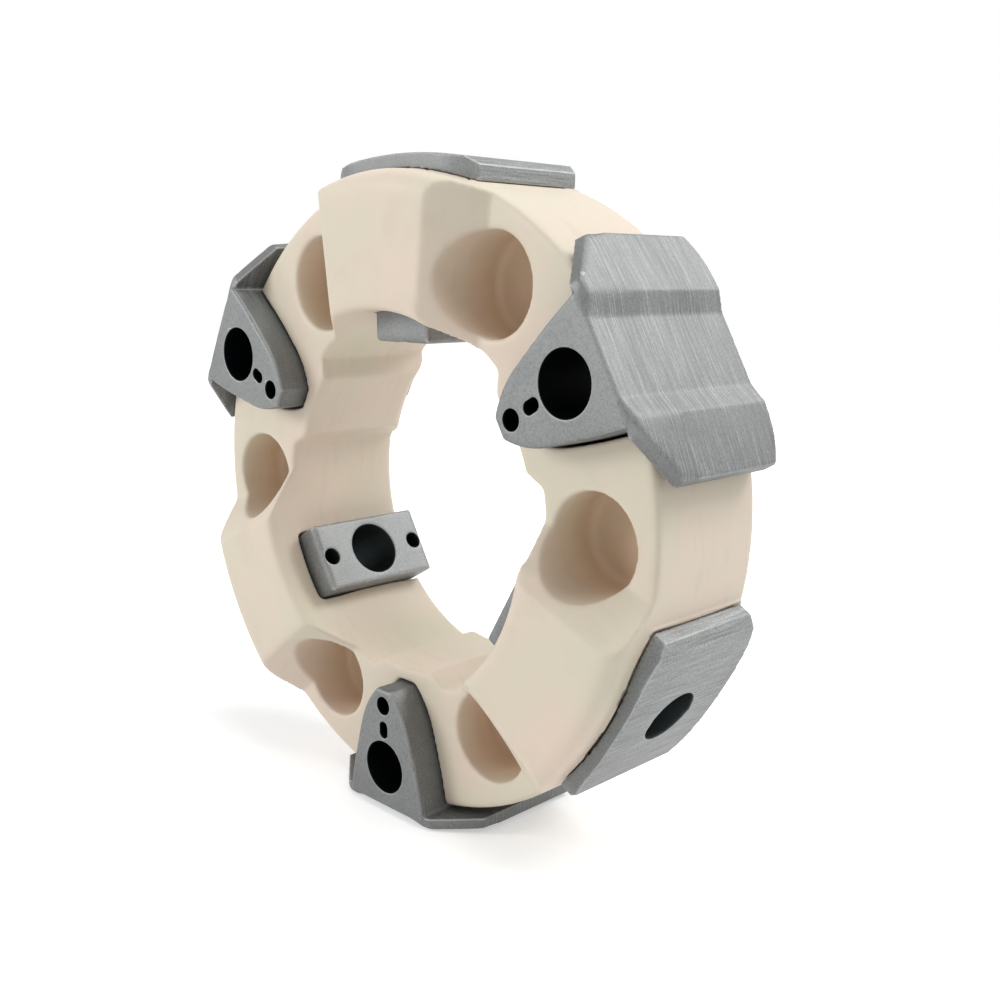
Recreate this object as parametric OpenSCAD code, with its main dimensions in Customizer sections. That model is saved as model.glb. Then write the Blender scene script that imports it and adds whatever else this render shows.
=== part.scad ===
// Flexible shaft coupling: one moulded elastomer ring and six cast inserts pushed into it.
// The coupling's axis is Y and its front faces -Y. It stands on the bottom axial insert.
// Inside the modules a piece is drawn at its own station: X is radial, Y runs round the
// ring and Z points to the front.

/* [Elastomer ring] */
// Outer radius of the ring
ring_outer_r = 114.5; // [113:0.5:117]
// Inner radius of the ring between the inserts
ring_inner_r = 68.8; // [67.8:0.2:70]
// Height of the ring's lower faces above its mid plane, and depth of its flat back
face_h = 25.8; // [24:0.2:28]
// Height of the bridges above the ring's mid plane
bridge_h = 39.5; // [37:0.5:42]
// Half width of a bridge's flat top at the outer edge
crease_w = 28.4; // [26:0.2:30]
// Angle by which the bridge's edges close towards the axis
crease_a = 7; // [5:0.5:9]
// Slope of the bridge's sides
slope_a = 39; // [36:1:44]
// Fillet of the ring's edges round its lower faces and its back
rim_fillet = 2; // [1:0.5:4]
// Fillet of the bridge's outer edge
bridge_outer_fillet = 7; // [4:0.5:9]
// Fillet of the bridge's inner edge
bridge_inner_fillet = 4; // [2:0.5:6]
// How far the web behind an axial insert bulges inwards
web_bulge = 6.2; // [4:0.2:8]
// Half angle of the web's bulge at its crest
web_crest_a = 12; // [10:0.5:14]
// Half angle of the web's bulge at its root
web_root_a = 17; // [15.5:0.5:19]
// Fillet of the web's edge at the back
web_back_fillet = 6; // [3:0.5:8]

/* [Pockets] */
// Radius of the circle that the pockets lie on
pocket_circle_r = 89.4; // [88.8:0.1:91]
// Radius of a pocket
pocket_r = 17; // [14:0.5:17.5]
// Thickness of rubber between a front and a back pocket
pocket_web = 11.5; // [8:0.5:16]
// Fillet round a pocket's floor
pocket_fillet = 3; // [1:0.5:5]

/* [Axial inserts] */
// Radius of the bolt circle of the axial bolts
bolt_circle_r = 100; // [98:0.5:102]
// Radius of an axial bolt's hole
axial_bore_r = 10.25; // [8:0.05:11]
// Height of the insert's front face above the ring's mid plane
core_front = 37.7; // [34:0.1:42]
// Depth of the insert's back face below the ring's mid plane
core_back = 30; // [29:0.5:33]
// Half width of the core at its outer corners
core_corner_w = 21.5; // [20.5:0.1:22.5]
// Angle of the core's flank at its outer corner
flank_a = 10; // [8.5:0.5:11]
// Radius of the core's flank
flank_r = 240; // [200:10:300]
// Length of the rounded shoulder from the core's inner end
shoulder_l = 14.2; // [13:0.2:15.5]
// Radius of the shoulder
shoulder_r = 33; // [31:0.5:38]
// Radius that breaks the edges of the cast pieces
cast_edge = 1.2; // [0.5:0.1:1.5]
// Height of the core's outer flat above the ring
flat_proud = 2; // [1.4:0.1:2.6]
// Half width of the flat between the wings
flat_w = 12.5; // [11:0.5:14]
// Half width at which the step up to a wing ends
step_w = 19.5; // [18:0.5:21]
// Height of the wings' crown above the ring, at the middle
crown_proud = 4.9; // [4.3:0.1:6]
// Radius of the wings' outer face
crown_r = 300; // [250:10:400]
// Reach of a wing round the ring
wing_reach = 40; // [36:1:42]
// Thickness of a wing
wing_thick = 4.8; // [3.8:0.1:5]
// Length of a wing behind the ring's mid plane
wing_h = 29.5; // [27:0.5:31]
// Half width at which the wing's back end begins to taper
wing_taper_w = 24; // [20:1:28]
// Half width at which the wing's front end begins to slant back
wing_root_w = 24; // [21:1:28]
// Height of the wing's front corner at its tip
wing_tip_h = 23.5; // [20:0.5:27]
// Radius of the round hole near the insert's inner end
core_hole_r = 3.4; // [2.5:0.1:3.6]
// Distance from the inner end to the round hole
core_hole_in = 6.3; // [6:0.1:7]
// Half width of the slotted hole between it and the bolt
core_slot_r = 2.1; // [1.6:0.1:2.6]
// Distance from the bolt to the slotted hole
core_slot_in = 15.2; // [15:0.1:15.6]
// Half length of the slotted hole
core_slot_l = 3.2; // [2.8:0.1:3.6]

/* [Radial inserts] */
// Radius of a radial bolt's hole
radial_bore_r = 10.5; // [8:0.05:11]
// How far the insert's seat stands in from the ring
pad_proud = 11.1; // [6:0.1:13]
// Half width of the insert's block round the ring
block_w = 13.8; // [13:0.1:15]
// Half length of the insert's block along the axis
block_h = 26.3; // [25.8:0.1:27]
// Corner radius of the block
block_corner = 1.5; // [1:0.5:4]
// Radius that rounds the edges at the seat's ends
pad_edge = 2.2; // [1.2:0.1:3]
// Thickness of the plate outside the ring, at the middle
plate_proud = 5; // [4:0.1:7]
// Radius of the plate's outer face
plate_crown_r = 200; // [150:10:300]
// Half width at which the plate's end begins to fall
plate_flat_w = 31.5; // [29:0.5:33]
// Reach of the plate round the ring
plate_reach = 36; // [34:0.5:38]
// Fall of the plate's chamfered end
plate_fall = 2.6; // [1:0.2:3]
// Half length of the plate along the axis
plate_h = 28; // [27:0.5:31]
// Half width at which the plate's ends begin to taper
plate_taper_w = 20; // [16:1:22]
// Radius of the two small holes in the seat
pad_hole_r = 3.3; // [2.5:0.1:3.6]
// Distance of the small holes from the bolt
pad_hole_out = 21.5; // [20:0.1:22]
// Depth of the small holes
pad_hole_depth = 28; // [10:1:40]

/* [Fit] */
// Clearance between an insert and the rubber round it
fit_gap = 0.3; // [0.2:0.05:0.5]

/* [Hidden] */
$fn = 96;

AXIAL_STATIONS = [30, 150, 270];
RADIAL_STATIONS = [90, 210, 330];
POCKET_STATIONS = [0, 60, 120, 180, 240, 300];
FAR = 200;
SPACING = 60;

// Radii that the inserts share with the ring
seat_r = ring_outer_r + fit_gap;
tip_r = ring_inner_r;
flat_r = ring_outer_r + flat_proud;
pad_r = ring_inner_r - pad_proud;
web_r = ring_inner_r - web_bulge;
crown_top = ring_outer_r + crown_proud;
plate_top = ring_outer_r + plate_proud;

// Where the crown meets the step up to a wing, and the plate its chamfered end
step_x = crown_top - crown_r + sqrt(pow(crown_r, 2) - pow(step_w, 2));
plate_end_x = plate_top - plate_crown_r + sqrt(pow(plate_crown_r, 2) - pow(plate_flat_w, 2));

// The flank is an arc through the outer corner, and the shoulder an arc that runs into it
flank_c = [flat_r + flank_r * sin(flank_a), core_corner_w - flank_r * cos(flank_a), 0];
shoulder_x = tip_r + shoulder_l;
shoulder_a = asin((flank_c.x - shoulder_x) / flank_r);
shoulder_c = flank_c + (flank_r - shoulder_r) * [-sin(shoulder_a), cos(shoulder_a), 0];

module at_station(angle) {
    rotate([90, 0, 0])
        rotate([0, 0, angle])
            children();
}

// A rectangle from corner low to corner high with rounded corners
module round_rect(low, high, r) {
    translate([low.x + r, low.y]) square([high.x - low.x - 2 * r, high.y - low.y]);
    translate([low.x, low.y + r]) square([high.x - low.x, high.y - low.y - 2 * r]);
    for (x = [low.x + r, high.x - r], y = [low.y + r, high.y - r])
        translate([x, y]) circle(r);
}

// Turns an outline drawn in X and Z into a bar along Y
module bar() {
    rotate([90, 0, 0])
        linear_extrude(height = 2 * FAR, center = true)
            children();
}

// Section of a core's wall out to radius r, with the core's edges broken
module core_section(r) {
    translate([0, -core_back]) square([r - cast_edge, core_back + core_front]);
    translate([0, cast_edge - core_back]) square([r, core_back + core_front - 2 * cast_edge]);
    for (z = [cast_edge - core_back, core_front - cast_edge])
        translate([r - cast_edge, z]) circle(cast_edge);
}

// One side of the core's outline: a long flank arc that the shoulder arc runs into.
// Each arc is a turned child, kept on its own side of the line where the two meet.
module core_side() {
    for (part = [0, 1])
        intersection() {
            translate(part == 0 ? flank_c : shoulder_c) children(part);
            translate(flank_c)
                rotate([0, 0, shoulder_a + 180 * part])
                    translate([0, -2 * flank_r, -FAR])
                        cube([2 * flank_r, 4 * flank_r, 2 * FAR]);
        }
}

module core_block() {
    intersection() {
        core_wall();
        mirror([0, 1, 0]) core_wall();
        bar() round_rect([tip_r, -core_back], [flat_r, core_front], cast_edge);
    }
}

module core_wall() {
    core_side() {
        rotate_extrude($fn = 720) core_section(flank_r);
        rotate_extrude() core_section(shoulder_r);
    }
}

// The core's slot through the ring, larger all round by the clearance
module slot_wall() {
    core_side() {
        cylinder(r = flank_r + fit_gap, h = 2 * FAR, center = true, $fn = 720);
        cylinder(r = shoulder_r + fit_gap, h = 2 * FAR, center = true);
    }
}

module core_slot() {
    intersection() {
        slot_wall();
        mirror([0, 1, 0]) slot_wall();
        translate([tip_r - fit_gap, -FAR, -FAR]) cube([flat_r - tip_r, 2 * FAR, 2 * FAR]);
    }
}

// A plan outline in Y and Z whose ends taper along arcs
module arc_plan(reach, h, taper_w) {
    intersection() {
        square([2 * reach, 2 * h], center = true);
        union() {
            square([2 * taper_w, 2 * h], center = true);
            for (s = [-1, 1]) translate([s * taper_w, 0]) circle(h);
        }
    }
}

// Turns a plan outline in Y and Z into a bar along X
module plan_bar() {
    rotate([90, 0, 90])
        linear_extrude(height = FAR)
            children();
}

// Outline of the wings: their back ends taper along arcs, and their front ends, level with
// the core's front face at the root, slant back to the tips
module wing_plan() {
    root_h = core_front - cast_edge;
    intersection() {
        arc_plan(wing_reach, wing_h, wing_taper_w);
        translate([-wing_reach, -wing_h]) square([2 * wing_reach, wing_h]);
    }
    polygon([[-wing_reach, 0], [-wing_reach, wing_tip_h], [-wing_root_w, root_h],
             [wing_root_w, root_h], [wing_reach, wing_tip_h], [wing_reach, 0]]);
}

// Sunk channel between the wings, with its sloping steps
module wing_channel() {
    top_x = 2 * step_x - flat_r;
    top_w = 2 * step_w - flat_w;
    linear_extrude(height = 2 * FAR, center = true)
        polygon([[flat_r, -flat_w], [flat_r, flat_w], [top_x, top_w], [top_x, -top_w]]);
}

// Face of the given radius along the axis, with its top at distance top from the axis
module crown(top, r) {
    translate([top - r, 0, 0]) cylinder(r = r, h = 2 * FAR, center = true, $fn = 360);
}

module wings() {
    difference() {
        intersection() {
            plan_bar() wing_plan();
            crown(crown_top, crown_r);
        }
        crown(crown_top - wing_thick, crown_r - wing_thick);
        wing_channel();
    }
}

// Hole through an insert along the coupling's axis
module axial_hole(x, r) {
    translate([x, 0, 0]) cylinder(r = r, h = 2 * FAR, center = true);
}

module axial_insert() {
    slot_x = bolt_circle_r - core_slot_in;
    slot_end = core_slot_l - core_slot_r;
    difference() {
        union() {
            core_block();
            wings();
        }
        axial_hole(bolt_circle_r, axial_bore_r);
        axial_hole(tip_r + core_hole_in, core_hole_r);
        axial_hole(slot_x - slot_end, core_slot_r);
        axial_hole(slot_x + slot_end, core_slot_r);
        translate([slot_x, 0, 0]) cube([2 * slot_end, 2 * core_slot_r, 2 * FAR], center = true);
    }
}

// The block that goes through the ring, larger by grow as the ring's window, which is open
// at the ring's back because the block ends level with it
module radial_block(grow) {
    plan_bar()
        round_rect([-block_w - grow, -block_h - grow], [block_w + grow, block_h + grow],
                   block_corner + grow);
}

module plate() {
    difference() {
        intersection() {
            plan_bar() arc_plan(plate_reach, plate_h, plate_taper_w);
            crown(plate_top, plate_crown_r);
            linear_extrude(height = 2 * FAR, center = true)
                polygon([[0, -plate_reach], [plate_end_x - plate_fall, -plate_reach],
                         [plate_end_x, -plate_flat_w], [FAR, 0], [plate_end_x, plate_flat_w],
                         [plate_end_x - plate_fall, plate_reach], [0, plate_reach]]);
        }
        cylinder(r = seat_r, h = 2 * FAR, center = true, $fn = 180);
    }
}

module radial_insert() {
    block_top = (seat_r + plate_top) / 2;
    difference() {
        union() {
            plate();
            intersection() {
                radial_block(0);
                bar() round_rect([pad_r, -block_h], [block_top, block_h], pad_edge);
                linear_extrude(height = 2 * FAR, center = true)
                    round_rect([pad_r, -block_w], [block_top, block_w], cast_edge);
            }
        }
        rotate([0, 90, 0]) cylinder(r = radial_bore_r, h = FAR);
        for (s = [-1, 1])
            translate([0, 0, s * pad_hole_out])
                rotate([0, 90, 0]) cylinder(r = pad_hole_r, h = pad_r + pad_hole_depth);
    }
}

// The ring turned at the full height of its bridges in front, and flat at the back
module ring_blank() {
    rotate_extrude($fn = 180) {
        round_rect([ring_inner_r, -face_h], [ring_outer_r, face_h], rim_fillet);
        round_rect([ring_inner_r, 0],
                   [ring_outer_r - bridge_outer_fillet, bridge_h], bridge_inner_fillet);
        round_rect([ring_inner_r + bridge_outer_fillet, 0],
                   [ring_outer_r, bridge_h], bridge_outer_fillet);
    }
}

// Space above the sloping side of the bridge that lies next round the ring
module above_slope() {
    rotate([0, 0, SPACING])
        translate([ring_outer_r, -crease_w, bridge_h])
            rotate([0, 0, -crease_a])
                rotate([slope_a, 0, 0])
                    translate([-FAR, -FAR, 0]) cube(2 * FAR);
}

// What is cut from the blank between two bridges, down to the lower face and its round rims.
// The rim's outline starts just outside the ring, so that it crosses the ring's walls.
module low_sector() {
    rim_h = face_h - rim_fillet;
    rim = [for (a = [0:30:90]) rim_fillet * [cos(a) - 1, sin(a)]];
    past_rim = -rim[1];
    half_rim = concat([past_rim], rim);
    outer = [for (p = half_rim) [ring_outer_r + p.x, rim_h + p.y]];
    inner = [for (i = [len(rim):-1:0]) [ring_inner_r - half_rim[i].x, rim_h + half_rim[i].y]];
    difference() {
        intersection() {
            translate([0, -FAR, 0]) cube(2 * FAR);
            above_slope();
            mirror([0, 1, 0]) above_slope();
        }
        rotate_extrude($fn = 180)
            polygon(concat([[ring_inner_r - past_rim.x, 0], [ring_outer_r + past_rim.x, 0]],
                           outer, inner));
    }
}

// Web of rubber that wraps the inner end of an axial insert
module web() {
    crest = web_r * [cos(web_crest_a), sin(web_crest_a)];
    root = ring_inner_r * [cos(web_root_a), sin(web_root_a)];
    inner = 2 * crest - root;
    outer = 2 * root - crest;
    intersection() {
        rotate_extrude($fn = 180) {
            round_rect([web_r, -face_h], [bolt_circle_r, face_h], web_back_fillet);
            round_rect([web_r, 0], [bolt_circle_r, face_h], rim_fillet);
        }
        linear_extrude(height = 2 * FAR, center = true)
            polygon([inner, outer, [bolt_circle_r - rim_fillet, 0],
                     [outer.x, -outer.y], [inner.x, -inner.y]]);
    }
}

// Blind round pocket in each face of the ring, with a rounded floor
module pocket_pair() {
    floor_z = pocket_web / 2;
    translate([pocket_circle_r, 0, 0])
        for (side = [0, 1])
            mirror([0, 0, side])
                rotate_extrude() {
                    translate([0, floor_z]) square([pocket_r - pocket_fillet, FAR]);
                    translate([0, floor_z + pocket_fillet]) square([pocket_r, FAR]);
                    translate([pocket_r - pocket_fillet, floor_z + pocket_fillet])
                        circle(pocket_fillet);
                }
}

module elastomer_ring() {
    color("antiquewhite")
        difference() {
            union() {
                difference() {
                    rotate([90, 0, 0]) ring_blank();
                    for (angle = AXIAL_STATIONS) at_station(angle) low_sector();
                }
                for (angle = AXIAL_STATIONS) at_station(angle) web();
            }
            for (angle = AXIAL_STATIONS) at_station(angle) core_slot();
            for (angle = RADIAL_STATIONS) at_station(angle) radial_block(fit_gap);
            for (angle = POCKET_STATIONS) at_station(angle) pocket_pair();
        }
}

module axial_insert_right() { color("silver") at_station(AXIAL_STATIONS[0]) axial_insert(); }
module axial_insert_left() { color("silver") at_station(AXIAL_STATIONS[1]) axial_insert(); }
module axial_insert_bottom() { color("silver") at_station(AXIAL_STATIONS[2]) axial_insert(); }
module radial_insert_top() { color("silver") at_station(RADIAL_STATIONS[0]) radial_insert(); }
module radial_insert_lower_left() { color("silver") at_station(RADIAL_STATIONS[1]) radial_insert(); }
module radial_insert_lower_right() { color("silver") at_station(RADIAL_STATIONS[2]) radial_insert(); }

elastomer_ring();
axial_insert_right();
axial_insert_left();
axial_insert_bottom();
radial_insert_top();
radial_insert_lower_left();
radial_insert_lower_right();
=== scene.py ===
import math
import bpy
from mathutils import Matrix, Vector
from mathutils.bvhtree import BVHTree


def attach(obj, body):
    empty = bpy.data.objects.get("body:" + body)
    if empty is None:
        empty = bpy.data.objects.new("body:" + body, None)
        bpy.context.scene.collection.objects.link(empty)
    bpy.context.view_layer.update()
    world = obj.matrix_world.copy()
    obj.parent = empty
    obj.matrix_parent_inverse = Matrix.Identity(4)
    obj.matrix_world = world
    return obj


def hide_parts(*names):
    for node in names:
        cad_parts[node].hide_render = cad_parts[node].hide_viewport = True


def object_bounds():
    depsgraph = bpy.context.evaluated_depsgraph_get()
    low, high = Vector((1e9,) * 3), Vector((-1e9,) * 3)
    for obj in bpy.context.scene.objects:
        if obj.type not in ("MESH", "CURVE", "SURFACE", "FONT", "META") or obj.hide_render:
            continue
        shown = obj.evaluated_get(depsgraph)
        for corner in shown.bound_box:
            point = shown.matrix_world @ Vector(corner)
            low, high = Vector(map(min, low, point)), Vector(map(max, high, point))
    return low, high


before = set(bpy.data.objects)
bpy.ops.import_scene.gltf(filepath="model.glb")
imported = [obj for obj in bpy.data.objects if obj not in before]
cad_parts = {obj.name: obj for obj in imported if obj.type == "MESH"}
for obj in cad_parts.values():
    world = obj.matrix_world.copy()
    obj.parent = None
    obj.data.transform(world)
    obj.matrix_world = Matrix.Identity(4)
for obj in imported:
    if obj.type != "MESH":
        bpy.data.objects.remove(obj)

solids_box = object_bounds()

# ---------------------------------------------------------------- elastomer ring
# The coupling's body: one thick ring moulded in ivory rubber, with high bridges in front, blind
# pockets in both faces and sockets that the metal inserts are pushed into. It comes out of its
# mould soft-edged, with a satin skin, and shade is painted into the pockets as a browner tone.


def workable_copy(node, name):
    """A solid as one closed mesh that can be shaped, in place of its loose triangles."""
    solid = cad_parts[node]
    piece = bpy.data.objects.new(name, solid.data.copy())
    bpy.context.scene.collection.objects.link(piece)
    bpy.ops.object.select_all(action="DESELECT")
    piece.select_set(True)
    bpy.context.view_layer.objects.active = piece
    bpy.ops.object.mode_set(mode="EDIT")
    bpy.ops.mesh.select_all(action="SELECT")
    bpy.ops.mesh.remove_doubles(threshold=2e-6)
    bpy.ops.mesh.select_all(action="DESELECT")
    bpy.ops.object.mode_set(mode="OBJECT")
    return piece


def shape_with(piece, kind, **settings):
    """Puts a modifier on the piece and applies it."""
    bpy.context.view_layer.objects.active = piece
    modifier = piece.modifiers.new(kind.lower(), kind)
    for key, value in settings.items():
        setattr(modifier, key, value)
    bpy.ops.object.modifier_apply(modifier=modifier.name)


def smoothed(piece, rounds, **where):
    shape_with(piece, "SMOOTH", factor=0.5, iterations=rounds, **where)


def remeshed(piece, voxel, rounds):
    """Builds the piece again in even faces of a voxel's size, and takes its sharp edges off."""
    shape_with(piece, "REMESH", mode="VOXEL", voxel_size=voxel, adaptivity=0.0)
    smoothed(piece, rounds)


def thinned(piece, triangles):
    """Takes out triangles that the shape doesn't need, and shades the piece smooth."""
    present = sum(len(face.vertices) - 2 for face in piece.data.polygons)
    shape_with(piece, "DECIMATE", ratio=min(1.0, triangles / present))
    bpy.ops.object.shade_smooth()


def finished(piece, node, material):
    """The piece stands for its solid, moves with the part and takes the slot's finish."""
    piece.data.materials.clear()
    piece.data.materials.append(material)
    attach(piece, "root")
    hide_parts(node)


ring = workable_copy("elastomer_ring", "elastomer_ring_moulding")
remeshed(ring, voxel=0.0009, rounds=4)

# The rubber keeps a thin gap round each insert. It is close in the middle of the ring, and opens
# towards the two faces over gap_length.
gap_inside, gap_more_at_faces = 0.0005, 0.0005
gap_starts_to_open, gap_length = 0.008, 0.010
rubber_by_metal = 0.0012
for node in sorted(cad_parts):
    if "insert" in node:
        metal = BVHTree.FromObject(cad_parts[node], bpy.context.evaluated_depsgraph_get())
        for vertex in ring.data.vertices:
            near, normal, *_ = metal.find_nearest(vertex.co, rubber_by_metal)
            if near is not None:
                along_gap = (abs(vertex.co.y) - gap_starts_to_open) / gap_length
                open_share = min(1.0, max(0.0, along_gap))
                vertex.co = near + normal * (gap_inside + gap_more_at_faces * open_share)
smoothed(ring, rounds=1)
thinned(ring, triangles=190000)


def new_material(name):
    material = bpy.data.materials.new(name)
    material.use_nodes = True
    tree = material.node_tree
    return material, tree, tree.nodes["Principled BSDF"]


def fill(tree, node, inputs):
    """Fills in a node's inputs, each with a value or with another node's output."""
    for key, value in inputs.items():
        socket = node.inputs[key]
        if isinstance(value, bpy.types.NodeSocket):
            tree.links.new(value, socket)
        else:
            socket.default_value = value


def put(tree, kind, inputs, **settings):
    """A new node of this kind, with its inputs filled in."""
    node = tree.nodes.new(kind)
    for key, value in settings.items():
        setattr(node, key, value)
    fill(tree, node, inputs)
    return node


def maths(tree, operation, *values):
    node = put(tree, "ShaderNodeMath", dict(enumerate(values)), operation=operation)
    return node.outputs[0]


def ramp(tree, value, low, high, start=0.0, end=1.0):
    """Runs from start to end as value goes from low to high, and holds outside them."""
    node = put(tree, "ShaderNodeMapRange", {"Value": value, "From Min": low, "From Max": high,
                                            "To Min": start, "To Max": end})
    return node.outputs["Result"]


def blend(tree, share, first, second):
    """Mixes two colours by share."""
    node = put(tree, "ShaderNodeMix", {0: share, 6: first, 7: second}, data_type="RGBA")
    return node.outputs[2]


def noise(tree, place, scale, detail, rough, stretch=(1, 1, 1)):
    spread = put(tree, "ShaderNodeMapping", {"Vector": place, "Scale": stretch})
    node = put(tree, "ShaderNodeTexNoise", {"Vector": spread.outputs[0], "Scale": scale,
                                            "Detail": detail, "Roughness": rough})
    return node.outputs["Fac"]


def new_group(name, inputs, outputs):
    """A node group with the sockets named, what its user gives it, and its output node."""
    group = bpy.data.node_groups.new(name, "ShaderNodeTree")
    for direction, sockets in (("INPUT", inputs), ("OUTPUT", outputs)):
        for socket, kind in sockets.items():
            group.interface.new_socket(socket, in_out=direction, socket_type="NodeSocket" + kind)
    given = group.nodes.new("NodeGroupInput").outputs
    return group, given, group.nodes.new("NodeGroupOutput")


def use_group(tree, group, inputs):
    """Places a group in a tree, and gives its outputs."""
    return put(tree, "ShaderNodeGroup", inputs, node_tree=group).outputs


def distance(tree, first, second):
    """The length of a step that goes first one way and second across it."""
    return maths(tree, "SQRT", maths(tree, "ADD", maths(tree, "POWER", first, 2.0),
                                     maths(tree, "POWER", second, 2.0)))


def round_the_axis(tree, place, station):
    """How far a point is from the coupling's axis, how far it is turned from the nearest of
    three like stations, and where it is along the axis."""
    parts = put(tree, "ShaderNodeSeparateXYZ", {0: place}).outputs
    turn = maths(tree, "SUBTRACT", maths(tree, "ARCTAN2", parts["Z"], parts["X"]), station)
    turn = maths(tree, "WRAP", turn, math.pi / 3, -math.pi / 3)
    return distance(tree, parts["X"], parts["Z"]), turn, parts["Y"]


def within(tree, apart, radius):
    """1 in a hole and on its wall, and 0 past its rim, over a fifth of a millimetre."""
    return ramp(tree, maths(tree, "SUBTRACT", apart, radius), 0.00015, 0.00035, 1.0, 0.0)


# Holes that run along the coupling's axis, alike at every third of a turn
axial_holes, given, result = new_group("hole_round_axis", {
    "Place": "Vector", "Station": "Float", "Out": "Float", "Radius": "Float"}, {"Mask": "Float"})
reach, turn, _ = round_the_axis(axial_holes, given["Place"], given["Station"])
out = maths(axial_holes, "MULTIPLY", reach, maths(axial_holes, "COSINE", turn))
across = maths(axial_holes, "MULTIPLY", reach, maths(axial_holes, "SINE", turn))
apart = distance(axial_holes, maths(axial_holes, "SUBTRACT", out, given["Out"]), across)
fill(axial_holes, result, {"Mask": within(axial_holes, apart, given["Radius"])})

# The skin of moulded rubber: two tones in soft clouds, faint flow marks and a fine grain
pink_ivory, green_ivory = (0.818, 0.680, 0.562, 1), (0.748, 0.694, 0.552, 1)
flow_tone = (0.690, 0.585, 0.465, 1)
skin, given, result = new_group("moulded_skin", {"Place": "Vector"},
                                {"Colour": "Color", "Roughness": "Float", "Height": "Float"})
clouds = noise(skin, given["Place"], scale=22.0, detail=3.0, rough=0.55)
flow = noise(skin, given["Place"], scale=60.0, detail=2.0, rough=0.5, stretch=(1, 4, 1))
grain = noise(skin, given["Place"], scale=900.0, detail=3.0, rough=0.6)
ivory = blend(skin, ramp(skin, clouds, 0.35, 0.65), pink_ivory, green_ivory)
ivory = blend(skin, ramp(skin, flow, 0.55, 0.8, 0.0, 0.45), ivory, flow_tone)
fill(skin, result, {
    "Colour": ivory,
    "Roughness": ramp(skin, clouds, 0.3, 0.7, 0.42, 0.56),
    "Height": maths(skin, "ADD", maths(skin, "MULTIPLY", clouds, 0.6),
                    maths(skin, "MULTIPLY", grain, 0.12))})

# Painted shade: the rubber is browner in the pockets, growing from their rims down to their
# floors
pocket_circle, pocket_radius = 0.0894, 0.0168
pocket_floor, pocket_rim = 0.006, 0.0245
pocket_shade_tone, pocket_shade_share = (0.62, 0.42, 0.27, 1), 0.6
rubber, tree, principled = new_material("ivory_rubber")
place = put(tree, "ShaderNodeTexCoord", {}).outputs["Object"]
surface = use_group(tree, skin, {"Place": place})
depth = maths(tree, "ABSOLUTE", put(tree, "ShaderNodeSeparateXYZ", {0: place}).outputs["Y"])
pockets = maths(tree, "MAXIMUM", *[
    use_group(tree, axial_holes, {
        "Place": place, "Station": math.radians(station), "Out": pocket_circle,
        "Radius": pocket_radius})["Mask"] for station in (0, 60)])
# Painted shade: the pocket mask is strongest at the floors and fades out towards the rims
pocket_shade_mask = maths(tree, "MULTIPLY", pockets, ramp(tree, depth, pocket_floor, pocket_rim, 1.0, 0.0))
tone = blend(tree, maths(tree, "MULTIPLY", pocket_shade_mask, pocket_shade_share), surface["Colour"],
             pocket_shade_tone)
bump = put(tree, "ShaderNodeBump", {"Strength": 0.35, "Distance": 0.0006,
                                    "Height": surface["Height"]})
fill(tree, principled, {"Base Color": tone, "Roughness": surface["Roughness"],
                        "Normal": bump.outputs[0], "Specular IOR Level": 0.4})
finished(ring, "elastomer_ring", rubber)

# ---------------------------------------------------------------- cast inserts
# Six aluminium castings that take the bolts: three winged ones with an axial bolt hole and
# three with a radial hole through a seat. They are mid-grey as cast, with a fine sandy grain,
# brushed along the outer faces, drilled through, and pushed into the ring's sockets from outside.

# The skin of a casting: clouds of tone and a sandy grain, evener on the faces that look along
# the coupling's axis, and fine brushed lines on the outer faces, past brushed_from
brushed_from, brushed_fully = 0.106, 0.112
face_dark, face_light = (0.212, 0.221, 0.220, 1), (0.262, 0.271, 0.268, 1)
line_bright, line_dull = (0.500, 0.505, 0.510, 1), (0.120, 0.127, 0.133, 1)
sand_tone = (0.105, 0.112, 0.112, 1)
cast_skin, given, result = new_group("cast_skin", {
    "Place": "Vector", "Facing": "Vector", "Brush": "Vector", "Dark": "Color",
    "Light": "Color"}, {"Colour": "Color", "Roughness": "Float", "Height": "Float"})
clouds = noise(cast_skin, given["Place"], scale=35.0, detail=4.0, rough=0.6)
sand = noise(cast_skin, given["Place"], scale=1500.0, detail=4.0, rough=0.65)
lines = noise(cast_skin, given["Place"], scale=26.0, detail=3.0, rough=0.6,
              stretch=given["Brush"])
cloudy = ramp(cast_skin, clouds, 0.3, 0.7)

facing = put(cast_skin, "ShaderNodeSeparateXYZ", {0: given["Facing"]}).outputs["Y"]
facing = maths(cast_skin, "ABSOLUTE", facing)
flat = put(cast_skin, "ShaderNodeMapping", {"Vector": given["Place"], "Scale": (1, 0, 1)})
reach = put(cast_skin, "ShaderNodeVectorMath", {0: flat.outputs[0]}, operation="LENGTH")
brushed = maths(cast_skin, "MULTIPLY", ramp(cast_skin, facing, 0.15, 0.45, 1.0, 0.0),
                ramp(cast_skin, reach.outputs["Value"], brushed_from, brushed_fully))

bright = maths(cast_skin, "MULTIPLY", ramp(cast_skin, lines, 0.50, 0.68, 0.0, 0.45), brushed)
dull = maths(cast_skin, "MULTIPLY", ramp(cast_skin, lines, 0.32, 0.46, 0.5, 0.0), brushed)
grey = blend(cast_skin, cloudy, given["Dark"], given["Light"])
grey = blend(cast_skin, bright, grey, line_bright)
grey = blend(cast_skin, dull, grey, line_dull)
grey = blend(cast_skin, ramp(cast_skin, facing, 0.80, 0.97), grey,
             blend(cast_skin, cloudy, face_dark, face_light))
grey = blend(cast_skin, ramp(cast_skin, sand, 0.38, 0.56, 0.5, 0.0), grey, sand_tone)

relief = maths(cast_skin, "MULTIPLY", maths(cast_skin, "MULTIPLY", lines, 0.4), brushed)
relief = maths(cast_skin, "ADD", maths(cast_skin, "MULTIPLY", sand, 0.6), relief)
fill(cast_skin, result, {
    "Colour": grey, "Roughness": ramp(cast_skin, sand, 0.3, 0.7, 0.46, 0.62),
    "Height": relief})


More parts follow.
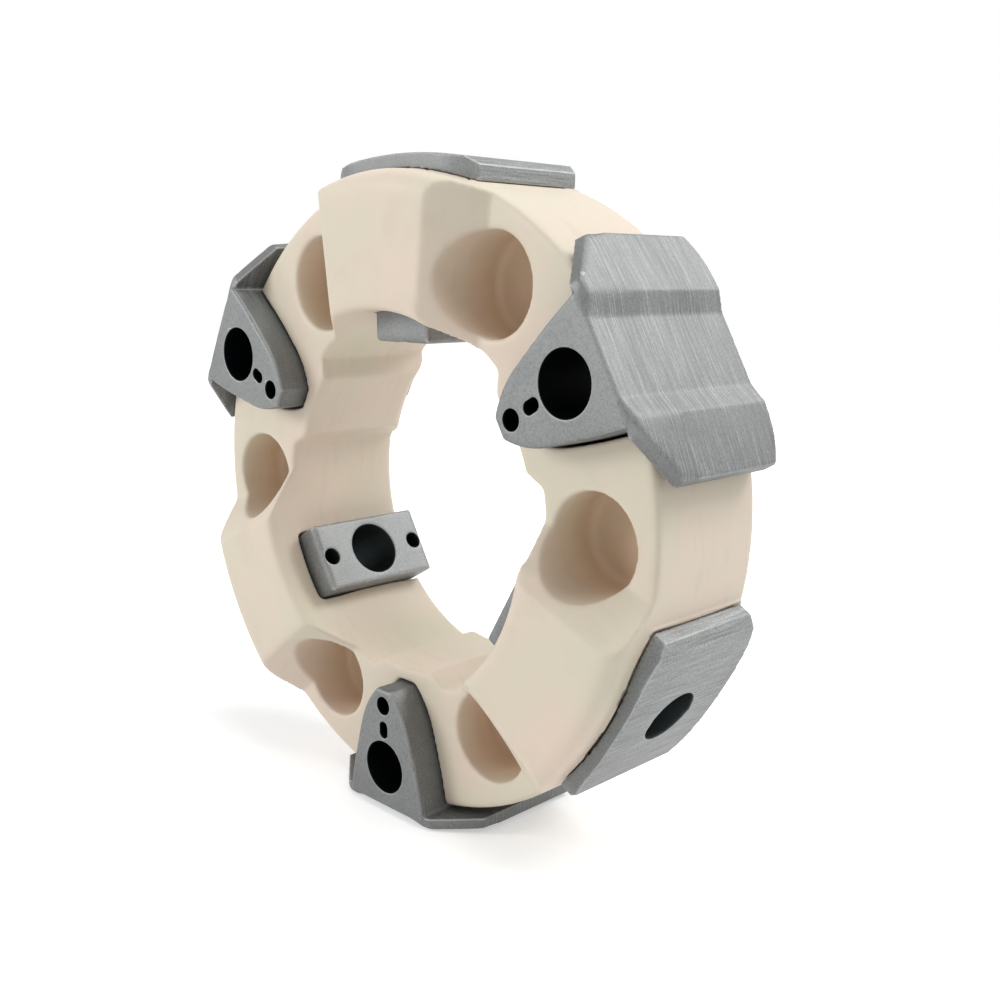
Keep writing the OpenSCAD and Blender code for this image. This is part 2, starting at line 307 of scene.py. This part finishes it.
def cast_metal(name, brush, dark, light, hole_shade_tone, holes):
    """Cast aluminium, lighter along its sharp edges, the sharpest points apart, and with painted
    shade on its drilled walls, which go near black. Each hole gives a function that makes a mask."""
    material, tree, principled = new_material(name)
    spots = put(tree, "ShaderNodeTexCoord", {}).outputs
    surface = use_group(tree, cast_skin, {
        "Place": spots["Object"], "Facing": spots["Normal"], "Brush": brush, "Dark": dark,
        "Light": light})
    # Lighter along the sharp edges, by how pointed the surface is there, with the sharpest points
    # left out
    sharpness = put(tree, "ShaderNodeNewGeometry", {}).outputs["Pointiness"]
    edges = maths(tree, "MINIMUM", ramp(tree, sharpness, 0.515, 0.57, 0.0, 0.5),
                  ramp(tree, sharpness, 0.59, 0.66, 0.5, 0.0))
    colour = blend(tree, edges, surface["Colour"], (0.66, 0.67, 0.68, 1))
    drilled = 0.0
    for hole in holes:
        drilled = maths(tree, "MAXIMUM", drilled, hole(tree, spots["Object"]))
    bump = put(tree, "ShaderNodeBump", {"Strength": 0.5, "Distance": 0.00025,
                                        "Height": surface["Height"]})
    # Painted shade in the holes: the drilled walls take a near-black tone and full metallic
    fill(tree, principled, {
        "Base Color": blend(tree, drilled, colour, hole_shade_tone),
        "Metallic": ramp(tree, drilled, 0.0, 1.0, 0.75, 1.0),
        "Roughness": surface["Roughness"], "Normal": bump.outputs[0]})
    return material


def axial_hole(out, radius):
    def mask(tree, place):
        return use_group(tree, axial_holes, {
            "Place": place, "Station": math.radians(30), "Out": out,
            "Radius": radius})["Mask"]
    return mask


# The bolt hole, the round hole and the slotted one, which is three small circles in a row
axial_metal = cast_metal(
    "cast_aluminium_axial", brush=(2.0, 90.0, 2.0), dark=(0.182, 0.188, 0.187, 1),
    light=(0.250, 0.256, 0.253, 1), hole_shade_tone=(0.008, 0.010, 0.012, 1),
    holes=[axial_hole(0.1, 0.01025), axial_hole(0.0751, 0.0034), axial_hole(0.0837, 0.0021),
           axial_hole(0.0848, 0.0021), axial_hole(0.0859, 0.0021)])

# Holes that run out from the coupling's axis, in the middle of an insert or at both its sides,
# as far out as their end
radial_holes, given, result = new_group("hole_to_axis", {
    "Place": "Vector", "Side": "Float", "Radius": "Float", "End": "Float"}, {"Mask": "Float"})
reach, turn, depth = round_the_axis(radial_holes, given["Place"], math.pi / 2)
across = maths(radial_holes, "MULTIPLY", reach, maths(radial_holes, "SINE", turn))
beside = maths(radial_holes, "SUBTRACT", maths(radial_holes, "ABSOLUTE", depth), given["Side"])
apart = distance(radial_holes, across, beside)
fill(radial_holes, result, {"Mask": maths(
    radial_holes, "MULTIPLY", maths(radial_holes, "LESS_THAN", reach, given["End"]),
    within(radial_holes, apart, given["Radius"]))})


def radial_hole(side, radius, end):
    def mask(tree, place):
        return use_group(tree, radial_holes, {
            "Place": place, "Side": side, "Radius": radius, "End": end})["Mask"]
    return mask


# The bolt hole, which goes right through, and the small blind ones in the seat
radial_metal = cast_metal(
    "cast_aluminium_radial", brush=(60.0, 2.0, 60.0), dark=(0.270, 0.278, 0.275, 1),
    light=(0.340, 0.348, 0.344, 1), hole_shade_tone=(0.060, 0.075, 0.077, 1),
    holes=[radial_hole(0.0, 0.0105, 0.2), radial_hole(0.0215, 0.0033, 0.087)])


def softened(piece, share, rounds):
    """Rounds the piece where share, a function of a point, is over 0."""
    group = piece.vertex_groups.new(name="soft")
    for vertex in piece.data.vertices:
        amount = share(vertex.co)
        if amount > 0:
            group.add([vertex.index], amount, "REPLACE")
    smoothed(piece, rounds, vertex_group=group.name)
    piece.vertex_groups.clear()


def wing_ends(point):
    """How much the right axial insert is rounded here. The wings' front ends are rounded in
    full, fading out over a few millimetres, and the sloping steps between the wings a little."""
    outward = Vector((math.cos(math.pi / 6), 0, math.sin(math.pi / 6)))
    sideways = Vector((-outward.z, 0, outward.x))
    out, side, ahead = point.dot(outward), abs(point.dot(sideways)), -point.y
    underside = 0.1146 - side ** 2 / 0.59
    nose = min((measure - start) / fade for measure, start, fade in (
        (ahead, 0.015, 0.005), (side, 0.012, 0.008), (out - underside, 0.0005, 0.002)))
    steps_out, step_middle, half_step = 0.1155, 0.016, 0.007
    step = 0.03 if out > steps_out and abs(side - step_middle) < half_step else 0
    return max(0.0, step, min(1.0, nose))


# One casting of each kind is shaped, and turned a third of a turn at a time for the other two
for kind, places, metal, rounded in (
        ("axial_insert_", ("right", "left", "bottom"), axial_metal, wing_ends),
        ("radial_insert_", ("top", "lower_left", "lower_right"), radial_metal, None)):
    first = workable_copy(kind + places[0], kind + places[0] + "_casting")
    remeshed(first, voxel=0.0005, rounds=2)
    if rounded:
        softened(first, rounded, rounds=110)
    thinned(first, triangles=90000)
    finished(first, kind + places[0], metal)
    for count, place in enumerate(places[1:], 1):
        casting = bpy.data.objects.new(kind + place + "_casting", first.data.copy())
        bpy.context.scene.collection.objects.link(casting)
        casting.data.transform(Matrix.Rotation(math.radians(-120 * count), 4, "Y"))
        finished(casting, kind + place, metal)

# ---------------------------------------------------------------- camera, floor and light
# The coupling stands on a plain white floor in a white room, under three large soft lamps. The
# camera stands where the photograph was taken from, to the front right and a little above the
# coupling's axis.
camera_data = bpy.data.cameras.new("camera")
camera_data.sensor_width = 36
camera_data.lens = 40.215
camera_data.shift_x = 0.01907
camera_data.shift_y = 0.09433
camera_data.clip_start, camera_data.clip_end = 0.01, 20
camera = bpy.data.objects.new("camera", camera_data)
bpy.context.scene.collection.objects.link(camera)
camera_place = [0.30583, -0.28541, 0.07940]
azimuth, elevation, roll = (math.radians(a) for a in (45.65, 15.781, 0.25))
back = Vector((math.sin(azimuth) * math.cos(elevation), -math.cos(azimuth) * math.cos(elevation),
               math.sin(elevation)))
level = Vector((math.cos(azimuth), math.sin(azimuth), 0))
upright = back.cross(level)
right = level * math.cos(roll) + upright * math.sin(roll)
up = upright * math.cos(roll) - level * math.sin(roll)
camera.matrix_world = Matrix([*zip([*right, 0], [*up, 0], [*back, 0], [*camera_place, 1])])
bpy.context.scene.camera = camera

# The floor runs on without an edge: away from the object it gives off the light that the lamps
# don't bring there, to the camera and to what the metal mirrors.
bpy.ops.mesh.primitive_plane_add(size=6, location=(0, 0, solids_box[0].z))
floor = bpy.context.object
floor.name = "floor"
white, tree, principled = new_material("pale_floor")
place = put(tree, "ShaderNodeTexCoord", {}).outputs["Object"]
away = put(tree, "ShaderNodeVectorMath", {0: place}, operation="LENGTH").outputs["Value"]
rays = put(tree, "ShaderNodeLightPath", {}).outputs
seen = maths(tree, "MAXIMUM", rays["Is Camera Ray"], rays["Is Glossy Ray"])
glow = ramp(tree, away, low=0.12, high=0.7, start=0.42, end=0.75)
fill(tree, principled, {
    "Base Color": (0.9, 0.9, 0.9, 1), "Roughness": 0.9, "Specular IOR Level": 0.1,
    "Emission Color": (1, 1, 1, 1), "Emission Strength": maths(tree, "MULTIPLY", seen, glow)})
floor.data.materials.append(white)

scene = bpy.context.scene
scene.view_settings.view_transform = "Standard"
room_light = 0.41
world = bpy.data.worlds.new("studio")
scene.world = world
world.use_nodes = True
tree = world.node_tree
rays = put(tree, "ShaderNodeLightPath", {}).outputs
seen = maths(tree, "MAXIMUM", rays["Is Camera Ray"],
             maths(tree, "MAXIMUM", rays["Is Glossy Ray"], rays["Is Transmission Ray"]))
fill(tree, tree.nodes["Background"], {
    "Color": (1, 1, 1, 1), "Strength": ramp(tree, seen, 0.0, 1.0, room_light, 1.0)})


def soft_lamp(name, place, power):
    """A round lamp that faces the coupling."""
    lamp = bpy.data.lights.new(name, "AREA")
    lamp.shape = "DISK"
    lamp.size = 0.6
    lamp.energy = power
    holder = bpy.data.objects.new(name, lamp)
    scene.collection.objects.link(holder)
    holder.location = place
    holder.rotation_euler = (-Vector(place)).to_track_quat("-Z", "Y").to_euler()


soft_lamp("key", (-0.85, -1.1, 0.5), power=7.5)
soft_lamp("above", (0.3, 0.0, 1.15), power=5)
soft_lamp("behind", (0.6, 0.8, 0.95), power=8)
